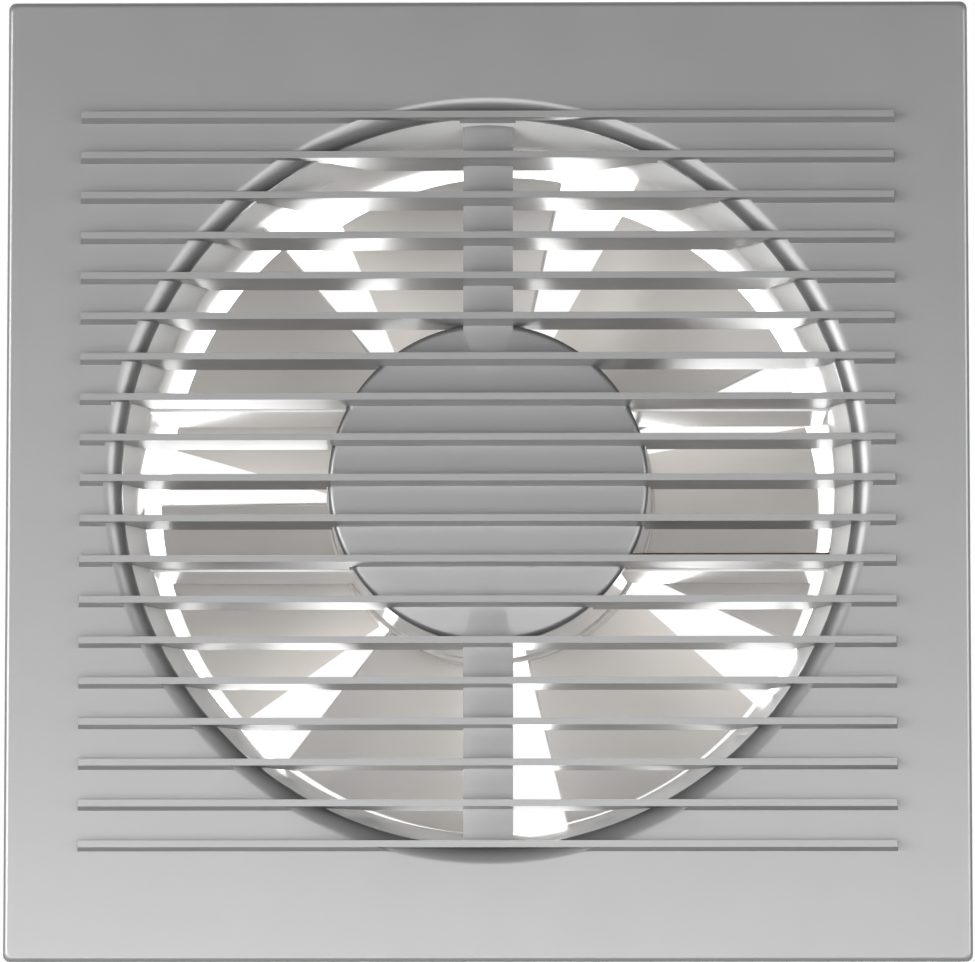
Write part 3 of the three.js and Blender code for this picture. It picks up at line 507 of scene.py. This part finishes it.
stays = None
for side in (-1, 1):
    z = side * stay_height
    reach = math.sqrt((duct_radius + 0.8 * mm) ** 2 - (stay_height + stay_thickness / 2) ** 2)
    stay = block("stay", (-reach, stay_front, z - stay_thickness / 2),
                 (reach, cup_back, z + stay_thickness / 2))
    if stays is None:
        stays = stay
    else:
        combine(stays, stay)
hollow = turned("hollow", [
    (0, cup_front - 5 * mm),
    (cup_front_radius - cup_wall, cup_front - 5 * mm),
    (cup_front_radius - cup_wall, cup_front),
    (cup_back_radius - cup_wall, cup_back - cup_floor),
    (0, cup_back - cup_floor),
], 128, closed=False)
combine(stays, hollow, "DIFFERENCE")
cup = turned("cup", [
    (cup_front_radius - cup_wall, cup_front),
    (cup_front_radius, cup_front),
    (cup_back_radius, cup_back - 0.8 * mm),
    (cup_back_radius - 0.8 * mm, cup_back),
    (floor_hole, cup_back),
    (floor_hole, cup_back - cup_floor),
    (cup_back_radius - cup_wall, cup_back - cup_floor),
], 128)
combine(stays, cup)
combine(housing, stays)

cable_z = -(plate_half - 16 * mm)
grommet_x = plate_half - 66 * mm
clamp_x = plate_half - 54 * mm
clamp_screws = [cable_z - 6 * mm, cable_z + 6 * mm]
cover_x = plate_half - 26 * mm
cover_z = cable_z - 1.5 * mm
small_hole = 1.6 * mm
motor_screws = 26.46 * mm
lead_slot_low = -stay_height + stay_thickness / 2 + 0.1 * mm
lead_slot_high = lead_slot_low + 2.8 * mm
lead_slot_front = -9.4 * mm
lead_slot_back = -3.8 * mm

for z in clamp_screws:
    combine(housing, drum("boss", 2.6 * mm, -7 * mm, -1 * mm, 32, clamp_x, z))
    combine(housing, drum("hole", small_hole, -20 * mm, -1.2 * mm, 24, clamp_x, z), "DIFFERENCE")
combine(housing, drum("boss", 3 * mm, -15.3 * mm, -1 * mm, 32, cover_x, cover_z))
combine(housing, drum("hole", small_hole, -25 * mm, -1.6 * mm, 24, cover_x, cover_z), "DIFFERENCE")
combine(housing, drum("hole", 5.5 * mm, -5 * mm, 5 * mm, 48, grommet_x, cable_z), "DIFFERENCE")
combine(housing, drum("counterbore", 7.8 * mm, -1.1 * mm, 5 * mm, 48, grommet_x, cable_z), "DIFFERENCE")
for eighth in (1, 3, 5, 7):
    x = motor_screws * math.cos(eighth * math.pi / 4)
    z = motor_screws * math.sin(eighth * math.pi / 4)
    combine(housing, drum("pad", 3.4 * mm, 17.3 * mm, 18.5 * mm, 32, x, z))
    combine(housing, drum("hole", 1.8 * mm, 15 * mm, 25 * mm, 24, x, z), "DIFFERENCE")
for low_x, high_x in ((duct_radius - 6 * mm, duct_radius + 8 * mm), (22.8 * mm, 34.4 * mm)):
    slot = block("lead_slot", (low_x, lead_slot_front, lead_slot_low),
                 (high_x, lead_slot_back, lead_slot_high))
    combine(housing, slot, "DIFFERENCE")

screw_place = wall_plate_half - 7 * mm
screw_boss_radius = 5 * mm
screw_hole_radius = 2.4 * mm
for x in (-screw_place, screw_place):
    for z in (-screw_place, screw_place):
        boss = drum("boss", screw_boss_radius, -wall_plate_thickness - 0.8 * mm, -1 * mm, 32, x, z)
        combine(housing, boss)
        combine(housing, drum("hole", screw_hole_radius, -5 * mm, 5 * mm, 32, x, z), "DIFFERENCE")
soften(housing, 0.25 * mm, 2, 40)
smooth(housing)
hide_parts("wall_plate", "duct_sleeve", "motor_carrier")
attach(housing, "fan_body")
white_plastic = finish("white_abs", moulded, (0.88, 0.88, 0.875), (0.875, 0.872, 0.865), (0.12, 0.15),
                       500, 0.006 * mm)
paint(housing, white_plastic)

# ---- Motor cap ----------------------------------------------------------------------------
# A thin white ABS lid that presses into the front of the motor cup and keeps steam out of it.

cap_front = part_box("motor_cap")[0].y
cap = turned("motor_cup_lid", [
    (0, cap_front),
    (cup_front_radius * 0.8, cap_front + 0.25 * mm),
    *arc(cup_front_radius - 1.6 * mm, cap_front + 1.9 * mm, 1.4 * mm, 270, 360, 5),
    (cup_front_radius - 0.2 * mm, cup_front - 0.3 * mm),
    (cup_front_radius - cup_wall - 0.4 * mm, cup_front - 0.3 * mm),
    (cup_front_radius - cup_wall - 0.4 * mm, cup_front + 1 * mm),
    (cup_front_radius - cup_wall - 2 * mm, cup_front + 1 * mm),
    (cup_front_radius - cup_wall - 2 * mm, cup_front - 0.3 * mm),
    (0, cup_front - 0.7 * mm),
], 128, closed=False)
smooth(cap)
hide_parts("motor_cap")
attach(cap, "fan_body")
paint(cap, white_plastic)

# ---- Impeller -----------------------------------------------------------------------------
# A warm white ABS moulding: a cupped hub over the back of the motor cup with seven twisted
# blades. It is pressed on the shaft and held by a push-on clip.

impeller_low, impeller_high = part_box("impeller")
hub_radius = cup_back_radius + 0.8 * mm
hub_wall = 1.7 * mm
hub_front = impeller_low.y
hub_back = impeller_high.y
hub_boss = 5.6 * mm
shaft_radius = 2 * mm
blade_count = 7
blade_tip = 70.8 * mm
blade_front = hub_front + 3.5 * mm
blade_depth = 20 * mm
blade_thickness = 1.6 * mm
blade_camber = 1.6 * mm
blade_sweep = math.radians(45)
blade_tip_lag = math.radians(-9.9)
first_blade = math.radians(77.6)
blade_rows = 14

hub = turned("impeller_blades_and_hub", [
    (hub_radius - hub_wall, hub_front + 0.3 * mm),
    (hub_radius - hub_wall + 0.4 * mm, hub_front),
    (hub_radius - 0.4 * mm, hub_front),
    (hub_radius, hub_front + 0.4 * mm),
    *arc(hub_radius - 4 * mm, hub_back - 4 * mm, 4 * mm, 0, 90, 8),
    (shaft_radius + 0.3 * mm, hub_back),
    (shaft_radius + 0.3 * mm, hub_front + 6 * mm),
    (hub_boss, hub_front + 6 * mm),
    (hub_boss + 0.6 * mm, hub_back - 2 * mm),
    (hub_radius - hub_wall - 3 * mm, hub_back - 2 * mm),
    (hub_radius - hub_wall, hub_back - 5 * mm),
], 128)

blade_root = hub_radius - hub_wall * 0.6
blade = begin("blade", bpy.ops.mesh.primitive_grid_add, x_subdivisions=10, y_subdivisions=1, size=1)
span = blade_tip - blade_root
bpy.ops.transform.resize(value=(span, 0.5 * mm, 1), center_override=(0, 0, 0))
bpy.ops.transform.translate(value=(blade_root + span / 2, blade_front - 0.25 * mm, 0))
pick("VERT", lambda at, _: at.y < blade_front - 0.25 * mm)
bpy.ops.mesh.delete(type="VERT")
bpy.ops.mesh.select_mode(type="EDGE")
bpy.ops.mesh.select_all(action="SELECT")
for row in range(blade_rows):
    chord_a, chord_b = row / blade_rows, (row + 1) / blade_rows
    rise = blade_depth / blade_rows
    rise -= 4 * blade_camber * (chord_b * (1 - chord_b) - chord_a * (1 - chord_a))
    bpy.ops.mesh.extrude_region_move(TRANSFORM_OT_translate={"value": (0, rise, 0)})
    bpy.ops.transform.rotate(value=blade_sweep / blade_rows, orient_axis="Y", center_override=(0, 0, 0))
    turned_so_far = blade_sweep * chord_b
    bpy.ops.transform.rotate(value=blade_tip_lag / blade_rows, orient_axis="Y", center_override=(
        blade_root * math.cos(turned_so_far), 0, blade_root * math.sin(turned_so_far)))
close()
apply(blade, "SOLIDIFY", thickness=blade_thickness, offset=0, use_even_offset=True)
soften(blade, 0.3 * mm, 2, 50)
for i in range(blade_count):
    copy = blade.copy()
    copy.data = blade.data.copy()
    bpy.context.scene.collection.objects.link(copy)
    copy.rotation_euler = (0, -(first_blade - i * 2 * math.pi / blade_count), 0)
    bpy.ops.object.select_all(action="DESELECT")
    bpy.context.view_layer.objects.active = copy
    copy.select_set(True)
    bpy.ops.object.transform_apply(location=True, rotation=True, scale=True)
    combine(hub, copy)
bpy.data.objects.remove(blade)
smooth(hub, 40)
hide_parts("impeller")
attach(hub, "impeller")
blade_plastic = finish("impeller_abs", moulded, (0.77, 0.745, 0.72), (0.76, 0.735, 0.71), (0.22, 0.26),
                       700, 0.006 * mm)
paint(hub, blade_plastic)

# ---- Shaft end and clip -------------------------------------------------------------------
# A ground steel shaft with chamfered ends, and the blued spring-steel clip that is pushed over it
# to hold the impeller. The clip is dished and slit so that its teeth bite.


def metal_skin(tree, where, scale):
    """Bare or plated metal: dull stains, uneven polish and fine marks that run along the duct axis."""
    stains = node(tree, "TexNoise", {"Vector": where, "Scale": 160.0, "Detail": 4.0})
    polish = node(tree, "TexNoise", {"Vector": where, "Scale": 420.0, "Detail": 3.0})
    along = node(tree, "Mapping", {"Vector": where, "Scale": (1, 0.15, 1)})
    marks = node(tree, "TexNoise", {"Vector": along.outputs["Vector"], "Scale": scale, "Detail": 3.0})
    return (stretch(tree, stains.outputs["Fac"], 0.4, 0.7), stretch(tree, polish.outputs["Fac"], 0.3, 0.7),
            marks.outputs["Fac"])


bare_metal = skin_group("bare_metal", metal_skin)
ground_steel = finish("ground_steel", bare_metal, (0.55, 0.55, 0.56), (0.46, 0.46, 0.47), (0.16, 0.26),
                      3000, 0.004 * mm, Metallic=1.0)
blued_steel = finish("blued_steel", bare_metal, (0.2, 0.21, 0.25), (0.13, 0.14, 0.18), (0.25, 0.36),
                     2500, 0.005 * mm, Metallic=1.0)


def finished(piece, body, slot_name, material, *nodes):
    """Smooths a piece, ties it to the frame and gives it its material."""
    smooth(piece)
    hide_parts(*nodes)
    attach(piece, body)
    paint(piece, material)


shaft_low, shaft_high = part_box("motor_shaft")
chamfer = 0.45 * mm
shaft = turned("shaft", [
    (0, shaft_low.y),
    (shaft_radius - chamfer, shaft_low.y),
    (shaft_radius, shaft_low.y + chamfer),
    (shaft_radius, shaft_high.y - chamfer),
    (shaft_radius - chamfer, shaft_high.y),
    (0, shaft_high.y),
], 48, closed=False)
finished(shaft, "impeller", "bright_steel", ground_steel, "motor_shaft")

clip_low, clip_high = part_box("hub_nut")
clip_radius = 5.2 * mm
clip_bore = shaft_radius + 0.3 * mm
clip = turned("push_on_clip", [
    (clip_bore, clip_low.y),
    (clip_radius - 0.2 * mm, clip_low.y),
    (clip_radius, clip_low.y + 0.15 * mm),
    (clip_radius, clip_low.y + 0.5 * mm),
    (clip_radius - 1 * mm, clip_low.y + 0.6 * mm),
    (clip_bore + 0.6 * mm, clip_high.y),
    (clip_bore, clip_high.y),
], 64)
for half_width, half_height in ((clip_radius - 1.5 * mm, 0.3 * mm), (0.3 * mm, clip_radius - 1.5 * mm)):
    slit = block("slit", (-half_width, clip_low.y - 1 * mm, -half_height),
                 (half_width, clip_high.y + 1 * mm, half_height))
    combine(clip, slit, "DIFFERENCE")
finished(clip, "impeller", "spring_steel", blued_steel, "hub_nut")

# ---- Terminal cover -----------------------------------------------------------------------
# A white ABS box over the terminals, open at the back, with a notch for the cable, two for the
# leads and a hole for its screw.

box_low, box_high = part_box("terminal_cover")
cover_wall = 1.4 * mm
cover = block("terminal_box_cover", box_low, (box_high.x, box_high.y + 2 * mm, box_high.z))
soften(cover, 1.2 * mm, 4, 50)
past = 1 * mm
inside = block("inside", (box_low.x + cover_wall, box_low.y + cover_wall, box_low.z + cover_wall),
               (box_high.x - cover_wall, box_high.y + 4 * mm, box_high.z - cover_wall))
soften(inside, 0.6 * mm, 3, 50)
combine(cover, inside, "DIFFERENCE")
combine(cover, block("back", (box_low.x - past, box_high.y, box_low.z - past),
                     (box_high.x + past, box_high.y + 5 * mm, box_high.z + past)), "DIFFERENCE")
cable_notch = 4.4 * mm
combine(cover, block("notch", (box_low.x - past, box_high.y - 9 * mm, cable_z - cable_notch),
                     (box_low.x + cover_wall + past, box_high.y + past, cable_z + cable_notch)), "DIFFERENCE")
lead_notch = 1.4 * mm
terminal_y = -8.7 * mm
for x in (plate_half - 40 * mm, plate_half - 28 * mm):
    combine(cover, block("notch", (x - lead_notch, terminal_y - lead_notch, box_high.z - cover_wall - past),
                         (x + lead_notch, box_high.y + past, box_high.z + past)), "DIFFERENCE")
combine(cover, drum("hole", small_hole, box_low.y - past, box_low.y + cover_wall + past, 32,
                    cover_x, cover_z), "DIFFERENCE")
finished(cover, "fan_body", "housing_white", white_plastic, "terminal_cover")

# ---- Small screws -------------------------------------------------------------------------
# Zinc-plated pan-head screws with a cross recess: one holds the terminal cover, two the clamp.

zinc = finish("zinc_plate", bare_metal, (0.6, 0.6, 0.58), (0.5, 0.51, 0.52), (0.22, 0.36), 2500, 0.004 * mm,
              Metallic=1.0)


def pan_head_screw(cad_name, name, x, z, head_radius, head_height, shank):
    low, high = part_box(cad_name)
    front, tip = low.y, high.y
    piece = turned(name, [
        (0, front),
        (head_radius * 0.5, front + 0.06 * head_height),
        (head_radius * 0.8, front + 0.22 * head_height),
        (head_radius * 0.96, front + 0.5 * head_height),
        (head_radius, front + 0.8 * head_height),
        (head_radius, front + head_height),
        (shank, front + head_height),
        (shank, tip - 0.7 * shank),
        (0.4 * shank, tip),
        (0, tip),
    ], 40, x, z, closed=False)
    long_arm, short_arm = 0.6 * head_radius, 0.14 * head_radius
    for reach_x, reach_z in ((long_arm, short_arm), (short_arm, long_arm)):
        recess = block("recess", (x - reach_x, front - 1 * mm, z - reach_z),
                       (x + reach_x, front + 0.7 * head_height, z + reach_z))
        combine(piece, recess, "DIFFERENCE")
    finished(piece, "fan_body", "zinc_screw", zinc, cad_name)


pan_head_screw("terminal_cover_screw", "cover_screw", cover_x, cover_z, 2.7 * mm, 1.6 * mm, 1.3 * mm)
for number, z in enumerate(clamp_screws, 1):
    pan_head_screw(f"cable_clamp_screw_{number}", f"clamp_screw_{number}", clamp_x, z,
                   2.2 * mm, 1.4 * mm, 1.1 * mm)

# ---- Cable grommet and clamp --------------------------------------------------------------
# The black rubber grommet sits in its hole with a flange on either side. The polyamide clamp is
# a bar with a raised bridge, hollowed underneath for the cable.

grommet_low, grommet_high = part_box("cable_grommet")
cable_radius = 3.6 * mm
flange_radius = cable_radius + 3.9 * mm
waist_radius = 5.2 * mm
flange_round = 0.55 * mm
grommet = turned("rubber_grommet", [
    (cable_radius, grommet_low.y + 0.3 * mm),
    (cable_radius + 0.3 * mm, grommet_low.y),
    *arc(flange_radius - flange_round, grommet_low.y + flange_round, flange_round, 270, 360, 4),
    (flange_radius, -2.7 * mm),
    (waist_radius, -2.7 * mm),
    (waist_radius, -0.8 * mm),
    (flange_radius, -0.8 * mm),
    (flange_radius, grommet_high.y),
    (cable_radius, grommet_high.y),
], 64, grommet_x, cable_z)
rubber = finish("rubber", moulded, (0.03, 0.03, 0.032), (0.045, 0.045, 0.046), (0.6, 0.75), 1500, 0.01 * mm)
finished(grommet, "fan_body", "rubber", rubber, "cable_grommet")

clamp_low, clamp_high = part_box("cable_clamp")
bar_height = 2.2 * mm
bridge_half = 3 * mm
clamp = block("clamp_bar", (clamp_low.x, clamp_high.y - bar_height, clamp_low.z), clamp_high)
combine(clamp, block("bridge", (clamp_low.x, clamp_low.y, cable_z - bridge_half),
                     (clamp_high.x, clamp_high.y, cable_z + bridge_half)))
soften(clamp, 0.5 * mm, 3, 50)
channel = begin("channel", bpy.ops.mesh.primitive_cylinder_add, vertices=48, radius=cable_radius,
                depth=10 * mm, location=(clamp_x, clamp_high.y + bar_height, cable_z),
                rotation=(0, math.pi / 2, 0))
close()
combine(clamp, channel, "DIFFERENCE")
for z in clamp_screws:
    combine(clamp, drum("hole", small_hole, clamp_low.y - past, clamp_high.y + past, 32, clamp_x, z),
            "DIFFERENCE")
polyamide = finish("polyamide", moulded, (0.78, 0.76, 0.7), (0.74, 0.71, 0.64), (0.34, 0.44), 900, 0.008 * mm)
finished(clamp, "fan_body", "terminal_nylon", polyamide, "cable_clamp")

# ---- Motor and terminals ------------------------------------------------------------------
# The pieces inside the cup and under the terminal cover keep the frame's own shapes. Steel
# laminations, cast brackets, bronze bushes, wound copper coils on nylon formers, brass terminals.


def laminated_skin(tree, where, scale):
    """Stacked steel sheets: fine lines across the duct axis, and a blotchy dark varnish."""
    sheets = node(tree, "TexWave", {"Vector": where, "Scale": scale, "Distortion": 0.4}, bands_direction="Y")
    varnish = node(tree, "TexNoise", {"Vector": where, "Scale": 300.0, "Detail": 3.0})
    return sheets.outputs["Fac"], stretch(tree, varnish.outputs["Fac"], 0.3, 0.7), sheets.outputs["Fac"]


def wound_skin(tree, where, scale):
    """Wire in close turns round a pole, so its lines are counted along X or Z, whichever is further out."""
    axes = node(tree, "SeparateXYZ", {"Vector": where})
    across, up = (node(tree, "Math", {0: axes.outputs[axis]}, operation="ABSOLUTE").outputs[0]
                  for axis in ("X", "Z"))
    out = node(tree, "Math", {0: across, 1: up}, operation="MAXIMUM")
    line = node(tree, "CombineXYZ", {"X": out.outputs[0]})
    turns = node(tree, "TexWave", {"Vector": line.outputs["Vector"], "Scale": scale})
    shade = node(tree, "TexNoise", {"Vector": where, "Scale": 500.0, "Detail": 2.0})
    return turns.outputs["Fac"], stretch(tree, shade.outputs["Fac"], 0.3, 0.7), turns.outputs["Fac"]


def lines_per(pitch):
    """Scale of a wave texture whose bands are one pitch apart."""
    return 2 * math.pi / (20 * pitch)


laminated = skin_group("laminated", laminated_skin)
wound = skin_group("wound", wound_skin)
core_steel = finish("core_steel", laminated, (0.1, 0.105, 0.11), (0.17, 0.18, 0.19), (0.42, 0.58),
                    lines_per(0.5 * mm), 0.03 * mm, Metallic=0.7)
coil_wire = finish("coil_wire", wound, (0.16, 0.045, 0.015), (0.45, 0.15, 0.05), (0.2, 0.3),
                   lines_per(0.35 * mm), 0.05 * mm, Metallic=0.8, Coat_Weight=0.5)
cast_aluminium = finish("cast_aluminium", bare_metal, (0.5, 0.51, 0.52), (0.4, 0.41, 0.42), (0.4, 0.55), 1200,
                        0.02 * mm, Metallic=1.0)
bronze = finish("bronze", bare_metal, (0.36, 0.22, 0.1), (0.27, 0.15, 0.07), (0.45, 0.6), 1800, 0.01 * mm,
                Metallic=1.0)
brass = finish("brass", bare_metal, (0.55, 0.4, 0.12), (0.45, 0.3, 0.09), (0.2, 0.34), 2600, 0.004 * mm,
               Metallic=1.0)
copper = finish("copper", bare_metal, (0.48, 0.19, 0.09), (0.34, 0.12, 0.06), (0.28, 0.45), 2200, 0.005 * mm,
                Metallic=1.0)
nylon = finish("nylon", moulded, (0.72, 0.68, 0.58), (0.68, 0.63, 0.52), (0.35, 0.45), 900, 0.008 * mm)
brown_pvc = finish("brown_pvc", moulded, (0.14, 0.05, 0.02), (0.12, 0.042, 0.018), (0.32, 0.42), 1200,
                   0.006 * mm)
blue_pvc = finish("blue_pvc", moulded, (0.03, 0.16, 0.45), (0.027, 0.14, 0.4), (0.32, 0.42), 1200, 0.006 * mm)

inner_finishes = {
    "stator_core": core_steel, "rotor_core": core_steel, "rotor_ring": cast_aluminium,
    "front_bracket": cast_aluminium, "rear_bracket": cast_aluminium, "front_bush": bronze,
    "rear_bush": bronze, "thrust_washer": nylon, "bobbin": nylon, "winding": coil_wire, "shading_ring": copper,
    "motor_screw": zinc, "terminal_screw": zinc, "terminal_block": polyamide, "terminal_insert": brass,
    "motor_lead_live": brown_pvc, "motor_lead_neutral": blue_pvc,
}
for name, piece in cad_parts.items():
    for start, material in inner_finishes.items():
        if name.startswith(start):
            paint(piece, material)

# ---- Camera, light and floor --------------------------------------------------------------
# A long lens looks slightly up at the grille. The light is soft and comes from in front, more of
# it from the left, with a weak lamp behind. The room beyond the duct is white.

camera_data = bpy.data.cameras.new("camera")
camera_data.sensor_width = 36
camera_data.lens = 258.5
camera = bpy.data.objects.new("camera", camera_data)
bpy.context.scene.collection.objects.link(camera)
bpy.context.scene.camera = camera
view_distance = 1.451
view_rise = math.radians(-5.46)
view_turn = math.radians(0.8)
aim = Vector((0, plate_front, -0.5 * mm))
away = Vector((math.sin(view_turn) * math.cos(view_rise), -math.cos(view_turn) * math.cos(view_rise),
               math.sin(view_rise)))
camera.location = aim + away * view_distance
camera.rotation_euler = (-away).to_track_quat("-Z", "Y").to_euler()
camera_data.clip_start = 0.05
camera_data.clip_end = 50


def lamp(name, place, wide, high, watts):
    """A soft box that faces the middle of the fan and is not seen itself."""
    data = bpy.data.lights.new(name, "AREA")
    data.shape = "RECTANGLE"
    data.size = wide
    data.size_y = high
    data.energy = watts
    made = bpy.data.objects.new(name, data)
    bpy.context.scene.collection.objects.link(made)
    made.location = place
    made.rotation_euler = (Vector() - Vector(place)).to_track_quat("-Z", "Y").to_euler()
    made.visible_camera = False


lamp("key", (-0.14, -0.5, -0.32), 0.5, 0.2, 1.8)
lamp("front", (-0.1, -1.4, -0.16), 1.9, 0.3, 10.0)
lamp("left", (-1.0, -0.95, -0.1), 0.8, 0.9, 21.0)
lamp("right", (1.0, -0.95, -0.1), 0.8, 0.9, 12.0)
lamp("back", (0.0, 0.7, 0.0), 0.7, 0.7, 6.0)

floor = begin("floor", bpy.ops.mesh.primitive_plane_add, size=12, location=(0, 0, -0.3))
close()
floor_paint, floor_tree, floor_shader = surface("floor_paint", Roughness=0.7)
floor_noise = node(floor_tree, "TexNoise", {"Scale": 3.0, "Detail": 2.0})
floor_color = node(floor_tree, "Mix", {"Factor": floor_noise.outputs["Fac"], 6: (0.6, 0.6, 0.59, 1),
                                       7: (0.64, 0.64, 0.63, 1)}, data_type="RGBA")
floor_tree.links.new(floor_color.outputs[2], floor_shader.inputs["Base Color"])
paint(floor, floor_paint)

world = bpy.data.worlds.new("studio")
bpy.context.scene.world = world
world.use_nodes = True
sky = world.node_tree
direction = node(sky, "TexCoord").outputs["Generated"]
parts = node(sky, "SeparateXYZ", {"Vector": direction})
brightness = node(sky, "MapRange", {"Value": parts.outputs["Y"], "From Min": -0.5, "From Max": 0.5,
                                    "To Min": 0.1, "To Max": 0.9})
seen = node(sky, "LightPath").outputs["Is Camera Ray"]
level = node(sky, "Mix", {"Factor": seen, 2: brightness.outputs["Result"], 3: 1.0}, data_type="FLOAT")
sky.nodes["Background"].inputs["Color"].default_value = (1, 1, 1, 1)
sky.links.new(level.outputs[0], sky.nodes["Background"].inputs["Strength"])
bpy.context.scene.view_settings.view_transform = "Standard"
